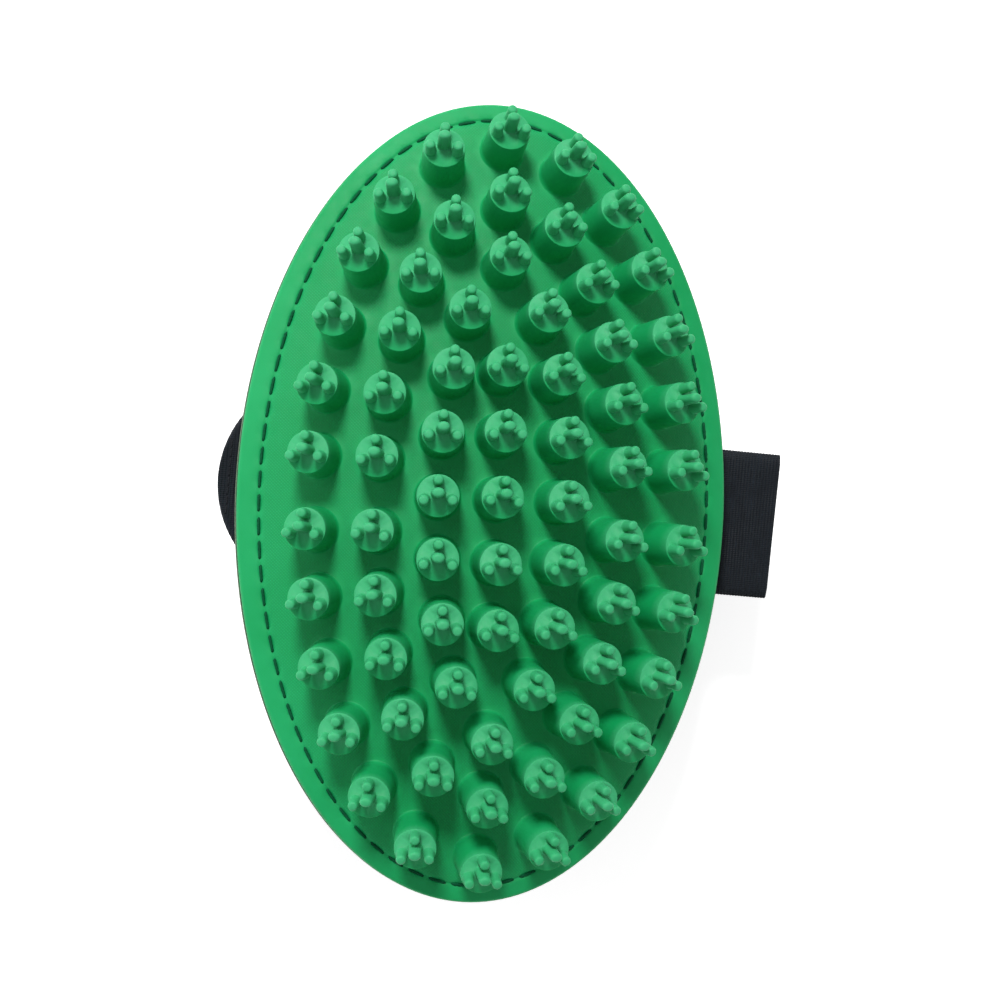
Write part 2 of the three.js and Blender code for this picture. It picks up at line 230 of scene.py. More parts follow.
def rubber_material():
    deep, pale = (0.0006, 0.290, 0.080, 1), (0.008, 0.350, 0.112, 1)
    shader = Shader("green_rubber", deep[:3], 0.5)
    cloudy = shader.noise(35, 4, 0.6)
    grain = shader.attribute("grain")
    lattice = shader.lattice(0.46 * MM, turn=math.radians(45))
    weave = shader.math("MULTIPLY", lattice, grain)
    color = shader.mix(shader.ramp(cloudy, 0.3, 0.7), deep, pale)
    # Painted shade: the colour darkens in the valleys of the weave, between its bumps.
    weave_valley_shade = shader.math("MULTIPLY", shader.ramp(lattice, 0.1, 0.45, 0.30, 0), grain)
    color = shader.mix(weave_valley_shade, color, (0.0006, 0.150, 0.040, 1))
    # Paler post ends and fingers from the tip attribute: partly wear, partly painted light, with
    # painted shadow below the fingers.
    tip_wear_light_and_shadow = shader.math("MULTIPLY", shader.attribute("tip"), shader.ramp(cloudy, 0.2, 0.8, 0.75, 1))
    color = shader.mix(tip_wear_light_and_shadow, color, (0.040, 0.37, 0.155, 1))
    shader.paint(Base_Color=color)
    scuffs = shader.noise(420, 5, 0.65)
    shader.paint(Roughness=shader.ramp(scuffs, 0.25, 0.75, 0.50, 0.68))
    shader.paint(Subsurface_Weight=0.12, Subsurface_Scale=1.2 * MM)
    shader.paint(Subsurface_Radius=(0.3, 1.0, 0.45), Specular_IOR_Level=0.26)
    normal = shader.bump(weave, 0.3, 0.10 * MM)
    normal = shader.bump(shader.noise(2600, 3, 0.6), 0.25, 0.05 * MM, normal)
    shader.paint(Normal=normal)
    return shader.material


def webbing_material():
    shader = Shader("black_webbing", (0.012, 0.015, 0.022), 0.72)
    uv = shader.add("ShaderNodeUVMap").outputs[0]
    parts = shader.add("ShaderNodeSeparateXYZ", Vector=uv)
    ribs = shader.math("SINE", shader.math("MULTIPLY", parts.outputs[0], math.tau / RIB_PITCH))
    yarn = shader.math("SINE", shader.math("MULTIPLY", parts.outputs[1], math.tau / (0.42 * MM)))
    yarns = shader.math("MULTIPLY", yarn, shader.ramp(ribs, -1, 1, 0.35, 1))
    fuzz = shader.noise(2200, 4, 0.7)
    wear = shader.noise(90, 3, 0.6)
    spread = shader.add("ShaderNodeMapping", Vector=uv, Scale=(1, 0.16, 1))
    streaks = shader.noise(2100, 2, 0.6, spread.outputs[0])
    share = shader.math("MULTIPLY", shader.ramp(ribs, -0.6, 1, 0.25, 1), shader.ramp(fuzz, 0.3, 0.8))
    share = shader.math("MULTIPLY", share, shader.ramp(streaks, 0.3, 0.7, 0.10, 1.5))
    patches = shader.noise(260, 2, 0.5, spread.outputs[0])
    share = shader.math("MULTIPLY", share, shader.ramp(patches, 0.3, 0.7, 0.45, 1.5))
    dark, worn = (0.0024, 0.0046, 0.0084, 1), (0.0100, 0.0185, 0.0310, 1)
    shader.paint(Base_Color=shader.mix(share, dark, worn))
    shader.paint(Roughness=shader.ramp(wear, 0.3, 0.7, 0.62, 0.85))
    shader.paint(Sheen_Weight=0.06, Specular_IOR_Level=0.3)
    normal = shader.bump(yarns, 0.55, 0.10 * MM)
    normal = shader.bump(fuzz, 0.4, 0.06 * MM, normal)
    shader.paint(Normal=normal)
    return shader.material


def cover_material():
    shader = Shader("cover_cloth", (0.014, 0.016, 0.018), 0.8)
    knit = shader.lattice(0.55 * MM, turn=math.radians(30))
    cloudy = shader.noise(60, 3, 0.6)
    fuzz = shader.noise(1800, 4, 0.7)
    dark, pale = (0.010, 0.012, 0.014, 1), (0.030, 0.033, 0.036, 1)
    share = shader.math("MULTIPLY", shader.ramp(knit, 0, 0.9), shader.ramp(cloudy, 0.2, 0.9, 0.4, 1))
    shader.paint(Base_Color=shader.mix(share, dark, pale))
    shader.paint(Sheen_Weight=0.25)
    shader.paint(Roughness=shader.ramp(cloudy, 0.2, 0.8, 0.7, 0.9))
    normal = shader.bump(knit, 0.6, 0.12 * MM)
    shader.paint(Normal=shader.bump(fuzz, 0.35, 0.05 * MM, normal))
    return shader.material


def cover_edge_material():
    shader = Shader("cover_edge", (0.07, 0.08, 0.06), 0.9)
    cells = shader.noise(1500, 4, 0.7)
    pale, dark = (0.16, 0.24, 0.15, 1), (0.08, 0.13, 0.075, 1)
    shader.paint(Base_Color=shader.mix(shader.ramp(cells, 0.3, 0.7), dark, pale))
    shader.paint(Normal=shader.bump(cells, 0.6, 0.12 * MM))
    return shader.material


def thread_material(name, dark, pale):
    shader = Shader(name, dark, 0.6)
    fibres = shader.noise(3800, 3, 0.7)
    patches = shader.noise(240, 3, 0.6)
    color = shader.mix(shader.ramp(fibres, 0.3, 0.75), (*dark, 1), (*pale, 1))
    shader.paint(Base_Color=color)
    shader.paint(Roughness=shader.ramp(patches, 0.3, 0.7, 0.65, 0.85))
    shader.paint(Specular_IOR_Level=0.1)
    shader.paint(Normal=shader.bump(fibres, 0.5, 0.05 * MM))
    return shader.material


def foam_material():
    shader = Shader("foam", (0.66, 0.61, 0.48), 0.95)
    cells = shader.add("ShaderNodeTexVoronoi", Scale=1400, Vector=shader.place).outputs["Distance"]
    cloudy = shader.noise(120, 3, 0.6)
    color = shader.mix(shader.ramp(cloudy, 0.3, 0.7), (0.60, 0.54, 0.40, 1), (0.74, 0.70, 0.58, 1))
    shader.paint(Base_Color=color)
    shader.paint(Normal=shader.bump(cells, 0.7, 0.25 * MM))
    return shader.material


def tape_material(name, dark, pale, roughness):
    shader = Shader(name, dark, roughness)
    weave = shader.lattice(0.5 * MM, turn=STRAP_ASKEW)
    fibres = shader.noise(2600, 4, 0.7)
    share = shader.math("MULTIPLY", shader.ramp(fibres, 0.3, 0.8), shader.ramp(weave, 0, 0.8, 0.4, 1))
    shader.paint(Base_Color=shader.mix(share, (*dark, 1), (*pale, 1)))
    rough = shader.ramp(fibres, 0.3, 0.7, roughness - 0.1, roughness + 0.08)
    shader.paint(Roughness=rough)
    normal = shader.bump(weave, 0.5, 0.1 * MM)
    shader.paint(Normal=shader.bump(fibres, 0.4, 0.05 * MM, normal))
    return shader.material


def floor_material():
    shader = Shader("floor_paint", (0.86, 0.86, 0.86), 0.7)
    cloudy = shader.noise(3, 3, 0.5)
    color = shader.mix(cloudy, (0.86, 0.86, 0.86, 1), (0.90, 0.90, 0.90, 1))
    shader.paint(Base_Color=color, Emission_Color=(1, 1, 1, 1), Emission_Strength=0.62)
    return shader.material


# ---- Mesh helpers


def make_object(name, verts, faces, materials, face_materials=None, smooth=True):
    mesh = bpy.data.meshes.new(name)
    mesh.from_pydata([tuple(map(float, v)) for v in verts], [], [tuple(map(int, f)) for f in faces])
    for material in materials:
        mesh.materials.append(material)
    if face_materials is not None:
        mesh.polygons.foreach_set("material_index", np.asarray(face_materials, np.int32))
    mesh.polygons.foreach_set("use_smooth", np.full(len(mesh.polygons), smooth))
    mesh.update()
    turn_outwards(mesh)
    piece = bpy.data.objects.new(name, mesh)
    bpy.context.scene.collection.objects.link(piece)
    return piece


def turn_outwards(mesh):
    work = bmesh.new()
    work.from_mesh(mesh)
    bmesh.ops.recalc_face_normals(work, faces=work.faces)
    work.to_mesh(mesh)
    work.free()


def add_attribute(piece, name, values):
    attribute = piece.data.attributes.new(name, "FLOAT", "POINT")
    attribute.data.foreach_set("value", np.asarray(values, np.float32))


def bridge_faces(first, second):
    """Four-sided faces between two closed runs of vertices, given by their indices."""
    count = len(first)
    return [
        (first[k], first[(k + 1) % count], second[(k + 1) % count], second[k])
        for k in range(count)
    ]


def loop_faces(first, second, count):
    """Four-sided faces between two closed runs of vertices that start at these indices."""
    return bridge_faces(range(first, first + count), range(second, second + count))


def closed_edges(first, count):
    """Edges round a closed run of points that starts at this index."""
    return [(first + k, first + (k + 1) % count) for k in range(count)]


def place_piece(piece, body, slot_name, *nodes):
    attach(piece, body)
    if nodes:
        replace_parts(piece, *nodes)
    return piece


# ---- Pad: the oval and its seam line


def dome_z(x, y):
    return RIM_TOP + DOME_RISE * (1 - (x / HALF_WIDTH) ** 2 - (y / HALF_LENGTH) ** 2)


def dome_up(x, y):
    slope_x = 2 * DOME_RISE * x / HALF_WIDTH**2
    slope_y = 2 * DOME_RISE * y / HALF_LENGTH**2
    return Vector((slope_x, slope_y, 1)).normalized()


def oval(share, turn):
    """Points of the oval that lies this share of the way from the outline to the seam."""
    x = (HALF_WIDTH - share * SEAM_INSET_X) * np.sin(turn)
    y = (HALF_LENGTH - share * SEAM_INSET_Y) * np.cos(turn)
    return x, y


def even_turns(share, count):
    """Turns that divide the oval into equal lengths."""
    turns = np.linspace(0, math.tau, 4001)
    x, y = oval(share, turns)
    length = np.concatenate([[0], np.cumsum(np.hypot(np.diff(x), np.diff(y)))])
    return np.interp(np.arange(count) / count * length[-1], length, turns)


def inset_share(x, y):
    """How far in from the outline a point lies, where the seam is at 1."""
    share = np.zeros_like(x)
    for _ in range(12):
        a = HALF_WIDTH - share * SEAM_INSET_X
        b = HALF_LENGTH - share * SEAM_INSET_Y
        miss = (x / a) ** 2 + (y / b) ** 2 - 1
        slope = 2 * x**2 * SEAM_INSET_X / a**3 + 2 * y**2 * SEAM_INSET_Y / b**3
        share = np.clip(share - miss / np.maximum(slope, 1e-3), 0, 6)
    return share


SEAM_TURNS = even_turns(1, STITCH_COUNT * 40)


def stitch_phase(x, y):
    """Place along the seam, counted in stitches, of the point of the seam nearest to a point."""
    turn = np.arctan2(x / (HALF_WIDTH - SEAM_INSET_X), y / (HALF_LENGTH - SEAM_INSET_Y))
    steps = np.interp(turn % math.tau, SEAM_TURNS, np.arange(len(SEAM_TURNS)))
    return steps / 40


def between_stitches(x, y):
    """0 where the thread goes through the rubber, 1 halfway along a stitch."""
    return 0.5 - 0.5 * np.cos(math.tau * stitch_phase(x, y))


def face_z(x, y):
    """Height of the rubber's upper surface, with its rounded rim and its stitched groove."""
    depth = inset_share(x, y) * SEAM_INSET_X
    over = np.clip(1 - depth / RIM_ROUNDING, 0, 1)
    z = dome_z(x, y) - RIM_ROUNDING * (1 - np.sqrt(1 - over**2))
    away = depth - SEAM_INSET_X
    between = between_stitches(x, y)
    for depth, more, width in (GROOVE, HOLLOW):
        z -= (depth + more * between) * np.exp(-((away / width) ** 2))
    return z


def seam_points(height):
    """The ends of the stitches, where height gives the seam's height at a point."""
    x, y = oval(1, even_turns(1, STITCH_COUNT))
    return np.column_stack([x, y, height(x, y)])


# ---- Face moulding


def peg_places():
    places = []
    for half_width, half_length, count, shift, spread, reach in PEG_RINGS:
        turns = np.linspace(0, math.tau, 4001)
        x, y = half_width * np.sin(turns), half_length * np.cos(turns)
        length = np.concatenate([[0], np.cumsum(np.hypot(np.diff(x), np.diff(y)))])
        at = np.interp(np.arange(count) / count * length[-1], length, turns)
        x, y = half_width * np.sin(at) + shift, half_length * np.cos(at)
        ratio = abs(y) / half_length
        places += list(zip(x, y + np.sign(y) * (spread * (1 - ratio) + reach * ratio**12)))
    middle = (MIDDLE_ROW - 1) / 2
    places += [(0.0, (middle - k) * MIDDLE_PITCH) for k in range(MIDDLE_ROW)]
    return places


def peg_frame(x, y):
    """The post's own axes: its odd rim finger points along +Y of the comb."""
    lean = Vector((random.normal(0, 0.012), random.normal(0, 0.012), 0))
    up = (dome_up(x, y) + lean).normalized()
    side = Vector((0, 1, 0)).cross(up).normalized()
    front = up.cross(side)
    twist = Matrix.Rotation(random.normal(0, 0.035), 3, up)
    return np.array([twist @ side, twist @ front, up])


def circle(count, radius):
    angles = np.arange(count) / count * math.tau
    return np.column_stack([np.cos(angles), np.sin(angles)]) * radius


def peg_profile():
    """Rings of [radius, height] from the top of the skirt to the edge of the flat end."""
    rings = []
    for turn in np.radians(FILLET_TURNS):
        radius = PEG_FOOT_RADIUS + (SKIRT_RADIUS - PEG_FOOT_RADIUS) * (1 - math.cos(turn))
        rings.append((radius, PEG_FILLET * (1 - math.sin(turn))))
    slope = (PEG_FOOT_RADIUS - PEG_TIP_RADIUS) / (PEG_HEIGHT - PEG_FILLET)
    for share in (0.33, 0.66, 0.93):
        height = PEG_FILLET + share * (PEG_HEIGHT - PEG_FILLET)
        rings.append((PEG_FOOT_RADIUS - slope * (height - PEG_FILLET), height))
    rings.append((PEG_TIP_RADIUS - 0.01 * MM, PEG_HEIGHT - 0.12 * MM))
    rings.append((PEG_TIP_RADIUS - 0.035 * MM, PEG_HEIGHT - 0.04 * MM))
    rings.append((PEG_TIP_RADIUS - 0.1 * MM, PEG_HEIGHT))
    return rings


# A finger's rings: share of its length, and how far it has narrowed from root to tip
FINGER_TAPER = ((0.05, 0.16), (0.13, 0.4), (0.28, 0.68), (0.5, 0.88), (0.8, 1.0))
# Its rounded top: share of its length, and share of the tip's radius
FINGER_TOP = ((0.89, 0.97), (0.95, 0.85), (0.985, 0.66), (1.0, 0.38))


def finger_rings(root_radius):
    """Pairs of radius and share of the length, from just over the root to the top."""
    narrow = root_radius - FINGER_TIP_RADIUS
    rings = [(root_radius - narrow * done, share) for share, done in FINGER_TAPER]
    return rings + [(FINGER_TIP_RADIUS * ratio, share) for share, ratio in FINGER_TOP]


def peg_template():
    """One post in its own axes: vertices, faces, and the ring that joins the dome, left open."""
    verts, faces = [], []
    rings = peg_profile()
    for index, (radius, height) in enumerate(rings):
        ring = circle(PEG_SIDES, radius)
        verts += [(x, y, height) for x, y in ring]
        if index:
            start = (index - 1) * PEG_SIDES
            faces += loop_faces(start, start + PEG_SIDES, PEG_SIDES)
    rim = (len(rings) - 1) * PEG_SIDES
    flat = [Vector(v[:2]) / MM for v in verts[rim:]]
    edges = closed_edges(0, PEG_SIDES)
    for x, y, root_radius, wide, _ in FINGERS:
        edges += closed_edges(len(flat), FINGER_SIDES)
        ring = circle(FINGER_SIDES, root_radius) * (wide, 1) + (x, y)
        flat += [Vector(p) / MM for p in ring]
    out, _, triangles, sources, _, _ = delaunay_2d_cdt(flat, edges, [], 0, 1e-5, True)
    number = [rim + origins[0] for origins in sources]
    for v in flat[PEG_SIDES:]:
        verts.append((v.x * MM, v.y * MM, PEG_HEIGHT))
    for triangle in triangles:
        middle = sum((out[i] for i in triangle), Vector((0, 0))) / 3 * MM
        inside = [
            math.hypot((middle.x - x) / wide, middle.y - y) < radius * 0.93
            for x, y, radius, wide, _ in FINGERS
        ]
        if not any(inside):
            faces.append(tuple(number[i] for i in triangle))
    for order, (spot_x, spot_y, root_radius, wide, length) in enumerate(FINGERS):
        below = rim + PEG_SIDES + order * FINGER_SIDES
        for radius, share in finger_rings(root_radius):
            splay = 1 + FINGER_SPLAY * share
            ring = circle(FINGER_SIDES, radius) * (wide, 1) + (spot_x * splay, spot_y * splay)
            first = len(verts)
            verts += [(x, y, PEG_HEIGHT + length * share) for x, y in ring]
            faces += loop_faces(below, first, FINGER_SIDES)
            below = first
        faces.append(tuple(range(below, below + FINGER_SIDES)))
    return np.array(verts), faces


def tip_wear_light_and_finger_shadow(post):
    """How pale each point of a post is: its fingers and flat end, partly wear and partly painted light,
    less so below the fingers, where the deeper green is painted shadow of the fingers.
    """
    high = np.clip((post[:, 2] / PEG_HEIGHT - 0.85) * 8, 0, 1)
    # Painted shadow: the flat end below the fingers keeps the deep green, as if in the fingers' shadow.
    below = np.clip((-0.9 * MM - post[:, 1]) / (1.2 * MM), 0, 1)
    return high * (1 - 0.95 * below * (post[:, 2] < PEG_HEIGHT + 0.3 * MM))


def sheet_points(places):
    """Points of the upper surface between the posts, as (x, y), the outline first."""
    outline = np.column_stack(oval(0, even_turns(0, 252)))
    points = []
    for depth in (0.03, 0.12, 0.28, 0.5, 0.75, 1.1, 1.7, 2.5, 3.3):
        share = depth * MM / SEAM_INSET_X
        points.append(np.column_stack(oval(share, even_turns(share, 252))))
    for depth in (3.8, 4.15, 4.4, 4.6, 4.8, 5.05, 5.4):
        share = depth * MM / SEAM_INSET_X
        points.append(np.column_stack(oval(share, even_turns(share, STITCH_COUNT * 6))))
    for depth in (6.0, 6.9, 8.2):
        share = depth * MM / SEAM_INSET_X
        points.append(np.column_stack(oval(share, even_turns(share, 252))))
    step = 1.7 * MM
    for row, y in enumerate(np.arange(-HALF_LENGTH, HALF_LENGTH, step * 0.866)):
        x = np.arange(-HALF_WIDTH, HALF_WIDTH, step) + (row % 2) * step / 2
        grid = np.column_stack([x, np.full_like(x, y)])
        points.append(grid[inset_share(grid[:, 0], grid[:, 1]) * SEAM_INSET_X > 9.3 * MM])
    points = np.concatenate(points)
    for px, py in places:
        gap = np.hypot(points[:, 0] - px, points[:, 1] - py)
        points = points[gap > SKIRT_RADIUS + 0.45 * MM]
    return outline, points


def post_skirts(places):
    """Each post's base point and axes, and the circle where its skirt meets the dome."""
    ring = circle(PEG_SIDES, SKIRT_RADIUS)
    frames, skirts = [], []
    for x, y in places:
        axes = peg_frame(x, y)
        base = np.array([x, y, dome_z(x, y)])
        frames.append((base, axes))
        skirts.append(base + ring[:, :1] * axes[0] + ring[:, 1:] * axes[1])
    return frames, skirts


def dome_sheet(places, frames, skirts):
    """The upper surface, with a hole for each post: points, faces, outline and hole rims."""
    outline, points = sheet_points(places)
    flat = [Vector(p) / MM for p in np.concatenate([outline, points])]
    edges = closed_edges(0, len(outline))
    firsts = []
    for skirt in skirts:
        firsts.append(len(flat))
        edges += closed_edges(len(flat), PEG_SIDES)
        flat += [Vector(p[:2]) / MM for p in skirt]
    out, _, triangles, sources, _, _ = delaunay_2d_cdt(flat, edges, [], 0, 1e-6, True)
    number = {origin: index for index, origins in enumerate(sources) for origin in origins}
    xy = np.array([tuple(v) for v in out]) * MM
    middles = np.array([(xy[a] + xy[b] + xy[c]) / 3 for a, b, c in triangles])
    keep = np.ones(len(triangles), bool)
    for base, axes in frames:
        reach = middles - base[:2]
        squeeze = np.hypot(reach[:, 0] / axes[0][0], reach[:, 1] / axes[1][1])
        keep &= squeeze > SKIRT_RADIUS * 0.985
    faces = [tuple(t) for t, good in zip(triangles, keep) if good]
    rims = [[number[first + k] for k in range(PEG_SIDES)] for first in firsts]
    return xy, faces, [number[k] for k in range(len(outline))], rims


def sheet_grain(xy, places):
    """How strongly the fine weave shows: in full between the posts, faintly on the rim."""
    grain = np.clip((inset_share(xy[:, 0], xy[:, 1]) - 1.05) * 6, 0.12, 1)
    for px, py in places:
        away = np.hypot(xy[:, 0] - px, xy[:, 1] - py) - SKIRT_RADIUS
        grain *= np.clip(away / (1.0 * MM), 0, 1)
    return grain


def place_post(post, base, axes, drop):
    """A post on the dome, a little off in length, its fillet let down to the skirt's rim."""
    local = post.copy()
    local[:, 2] *= 1 + random.normal(0, 0.008)
    placed = base + local @ axes
    rings = len(FILLET_TURNS)
    fade = np.linspace(0.95, 0, rings) ** 1.5
    placed[: rings * PEG_SIDES, 2] += np.outer(fade, drop).ravel()
    return placed


def face_moulding(material):
    """The rubber face as one closed mesh: the dome, its posts, the rim and the underside."""
    places = peg_places()
    frames, skirts = post_skirts(places)
    xy, faces, outline, rims = dome_sheet(places, frames, skirts)
    heights = face_z(xy[:, 0], xy[:, 1])
    verts = [np.column_stack([xy, heights])]
    grains = [sheet_grain(xy, places)]
    tip_paint_values = [np.zeros(len(xy))]
    post, post_faces = peg_template()
    # Paint on the post ends: partly wear, partly painted light, and painted shadow below the fingers.
    post_tip_paint = tip_wear_light_and_finger_shadow(post)
    total = len(xy)
    for (base, axes), skirt, rim in zip(frames, skirts, rims):
        verts.append(place_post(post, base, axes, heights[rim] - skirt[:, 2]))
        grains.append(np.zeros(len(post)))
        tip_paint_values.append(post_tip_paint * random.uniform(0.85, 1.15))
        faces += bridge_faces(rim, range(total, total + PEG_SIDES))
        faces += [tuple(total + i for i in face) for face in post_faces]
        total += len(post)
    under, under_faces = underside(outline, total)
    verts.append(under)
    faces += under_faces
    grains.append(np.zeros(len(under)))
    tip_paint_values.append(np.zeros(len(under)))
    piece = make_object("face_rubber", np.concatenate(verts), faces, [material])
    add_attribute(piece, "grain", np.concatenate(grains))
    add_attribute(piece, "tip", np.concatenate(tip_paint_values))
    return place_piece(piece, "pad", "green_rubber", "face_moulding")


def underside(outline, first):
    """Vertices and faces below the outline, numbered from first."""
    count = len(outline)
    turns = even_turns(0, count)
    verts, faces, above = [], [], outline
    for ratio, height in underside_rings():
        x = HALF_WIDTH * ratio * np.sin(turns)
        y = HALF_LENGTH * ratio * np.cos(turns)
        verts.append(np.column_stack([x, y, np.full(count, height)]))
        below = range(first, first + count)
        faces += bridge_faces(above, below)
        above, first = below, first + count
    faces.append(tuple(above))
    return np.concatenate(verts), faces


def underside_rings():
    """The rim's side wall, the flat flange and the hollow over the foam core."""
    rings = [
        (0.9985, FACE_BASE + 1.2 * MM),
        (0.996, FACE_BASE + 0.5 * MM),
        (0.993, FACE_BASE + 0.14 * MM),
        (0.988, FACE_BASE),
        (0.94, FACE_BASE),
        (CORE_EDGE, FACE_BASE),
    ]
    for ratio in (0.8, 0.7, 0.6, 0.48, 0.36, 0.24, 0.12, 0.03):
        rings.append((ratio, FACE_BASE + hollow_rise(ratio)))
    return rings


def hollow_rise(ratio):
    return (DOME_RISE + RIM_THICK - WALL_MID) * max(0.0, 1 - (ratio / CORE_EDGE) ** 2)


# ---- Threads


def thread_tube(path, up, radius):
    """A two-ply twisted thread along a short path, closed at both ends."""
    sides = THREAD_SIDES
    along = np.gradient(path, axis=0)
    along /= np.linalg.norm(along, axis=1)[:, None]
    across = np.cross(along, up)
    across /= np.linalg.norm(across, axis=1)[:, None]
    raised = np.cross(across, along)
    length = np.concatenate([[0], np.cumsum(np.linalg.norm(np.diff(path, axis=0), axis=1))])
    angles = np.arange(sides) / sides * math.tau
    verts, faces = [], []
    for i, point in enumerate(path):
        twist = length[i] * THREAD_TURNS * math.tau
        lobes = radius * (0.84 + 0.16 * np.cos(2 * (angles - twist)))
        ring = point + lobes[:, None] * (
            np.cos(angles)[:, None] * across[i] + np.sin(angles)[:, None] * raised[i]
        )
        verts.append(ring)
        if i:
            faces += loop_faces((i - 1) * sides, i * sides, sides)
    faces.append(tuple(range(sides)))
    last = (len(path) - 1) * sides
    faces.append(tuple(range(last, last + sides)))
    return np.concatenate(verts), faces


def stitch_path(start, end, up, dash, rise, sink):
    """A stitch that comes up at start, lies on the surface and goes down again at end."""
    start, end, up = (np.asarray(v, float) for v in (start, end, up))
    middle, half = (start + end) / 2, (end - start) * dash / 2
    steps = np.array([-1.0, -0.985, -0.93, -0.8, -0.5, -0.2, 0.1, 0.4, 0.7, 0.88, 0.96, 0.99, 1.0])
    lift = np.where(np.abs(steps) < 0.94, rise * (1 - 0.35 * steps**4), 0.0)
    lift = np.where(np.abs(steps) >= 0.98, -sink, lift)
    return middle + steps[:, None] * half + lift[:, None] * up


def stitches(name, points, ups, material, dash=0.68, radius=THREAD / 2, closed=True, sink=0.5 * MM):
    """One stitch from each point to the next, all in one mesh."""
    verts, faces, total = [], [], 0
    count = len(points) if closed else len(points) - 1
    for k in range(count):
        start, end = points[k], points[(k + 1) % len(points)]
        slack = 1 + random.normal(0, 0.03)
        path = stitch_path(start, end, ups[k], dash * slack, radius * 0.55, sink)
        tube, tube_faces = thread_tube(path, ups[k], radius)
        verts.append(tube)
        faces += [tuple(total + i for i in face) for face in tube_faces]
        total += len(tube)
    return make_object(name, np.concatenate(verts), faces, [material])


def face_seam(material):
    points = seam_points(lambda x, y: dome_z(x, y) - 0.55 * MM)
    ups = [np.array(dome_up(x, y)) for x, y, _ in points]
    return place_piece(
        stitches("face_stitches", points, ups, material), "pad", "seam_thread", "face_seam_thread"
    )


def back_seam(material):
    points = seam_points(lambda x, y: np.full_like(x, COVER_BASE + 0.30 * MM))
    ups = [np.array([0, 0, -1.0])] * STITCH_COUNT
    return place_piece(
        stitches("back_stitches", points, ups, material), "pad", "seam_thread", "back_seam_thread"
    )


# ---- Foam core and back cover


def foam_core(material):
    count = 96
    turns = np.arange(count) / count * math.tau
    edge = CORE_EDGE - 0.05
    rings = [(0.2, FACE_BASE), (0.6, FACE_BASE), (edge - 0.01, FACE_BASE)]
    rings.append((edge, FACE_BASE + 0.3 * MM))
    for ratio in (edge - 0.005, 0.75, 0.65, 0.52, 0.4, 0.27, 0.15, 0.05):
        rings.append((ratio, FACE_BASE + hollow_rise(ratio) - 0.4 * MM))
    verts, faces = [], [tuple(range(count))]
    for index, (ratio, height) in enumerate(rings):
        uneven = random.normal(0, 0.03 * MM, count)
        x, y = HALF_WIDTH * ratio * np.sin(turns), HALF_LENGTH * ratio * np.cos(turns)
        verts.append(np.column_stack([x, y, height + uneven * (3 < index)]))
        if index:
            faces += loop_faces((index - 1) * count, index * count, count)
    last = (len(rings) - 1) * count
    faces.append(tuple(range(last, last + count)))
    piece = make_object("foam_pad", np.concatenate(verts), faces, [material])
    place_piece(piece, "pad", "foam", "foam_core")
    return piece


def cover_low_z(x, y):
    """Lower side of the back cover: a little full over the foam and drawn in at the seam."""
    share = inset_share(x, y)
    away = share * SEAM_INSET_X - SEAM_INSET_X
    between = between_stitches(x, y)
    fullness = np.clip((share - 1.0) / 2.2, 0, 1)
    fullness = fullness * fullness * (3 - 2 * fullness)
    z = np.full_like(x, COVER_BASE) - 0.12 * MM * fullness
    z += (0.25 * MM + 0.25 * MM * between) * np.exp(-((away / (0.9 * MM)) ** 2))
    ripple = np.sin(math.tau * stitch_phase(x, y) * 0.5 + 1.3) * np.sin(share * 5)
    return z + 0.05 * MM * ripple * np.clip(1.8 - abs(share - 1.4), 0, 1)


def back_cover(cloth, edge):
    count = STITCH_COUNT * 4
    turns = even_turns(0, count)
    verts, faces, marks = [], [], []

    def ring(inset, height):
        x = (HALF_WIDTH + COVER_LIP - inset) * np.sin(turns)
        y = (HALF_LENGTH + COVER_LIP - inset * SEAM_INSET_Y / SEAM_INSET_X) * np.cos(turns)
        z = height(x, y) if callable(height) else np.full(count, height)
        verts.append(np.column_stack([x, y, z]))
        if len(verts) > 1:
            faces.extend(loop_faces((len(verts) - 2) * count, (len(verts) - 1) * count, count))

    middle = (46, 40, 34, 28, 22, 17, 13, 10, 8)
    for inset in middle + (6.8, 6.0, 5.5, 5.2, 4.9, 4.5, 4.0, 3.2, 2.4, 1.5):
        ring(inset * MM, cover_low_z)
    ring(0.5 * MM, COVER_BASE + 0.02 * MM)
    marks += [0] * len(faces)
    ring(0.12 * MM, COVER_BASE + 0.16 * MM)
    ring(0.0, COVER_BASE + 0.55 * MM)
    ring(0.02 * MM, COVER_BASE + 1.2 * MM)
    ring(0.0, COVER_TOP - 0.3 * MM)
    ring(0.15 * MM, COVER_TOP - 0.05 * MM)
    marks += [1] * (len(faces) - len(marks))
    for inset in (0.6, 3, 8, 20, 44):
        ring(inset * MM, COVER_TOP)
    first, last = tuple(range(count)), (len(verts) - 1) * count
    faces += [first, tuple(range(last, last + count))]
    marks += [0] * (len(faces) - len(marks))
    piece = make_object("cover", np.concatenate(verts), faces, [cloth, edge], marks)
    place_piece(piece, "pad", "cover_cloth", "back_cover")
    return piece


# ---- Straps


def bezier(a, b, c, steps):
    t = np.linspace(0, 1, steps)[:, None]
    return (1 - t) ** 2 * np.array(a) + 2 * t * (1 - t) * np.array(b) + t**2 * np.array(c)


def arch_path(side, root_z):
    """The strap's lower face from the hinge line down to the flat crown, as (along, up)."""
    steep = 2.5 * MM
    shoulder = CROWN_HALF + (ROOT_INNER - CROWN_HALF) * 0.73
    foot = CROWN_HALF + (ROOT_INNER - CROWN_HALF) * 0.33
    upper = bezier(
        (ROOT_INNER - HINGE_GAP, root_z),
        (shoulder, root_z - DEPART_DROP),
        (shoulder - steep, root_z - DEPART_DROP - BEND_DROP),
        14,
    )
    lower = bezier((foot + steep, BEND_DROP), (foot, 0), (CROWN_HALF, 0), 14)
    return np.concatenate([upper, lower]) * (side, 1)


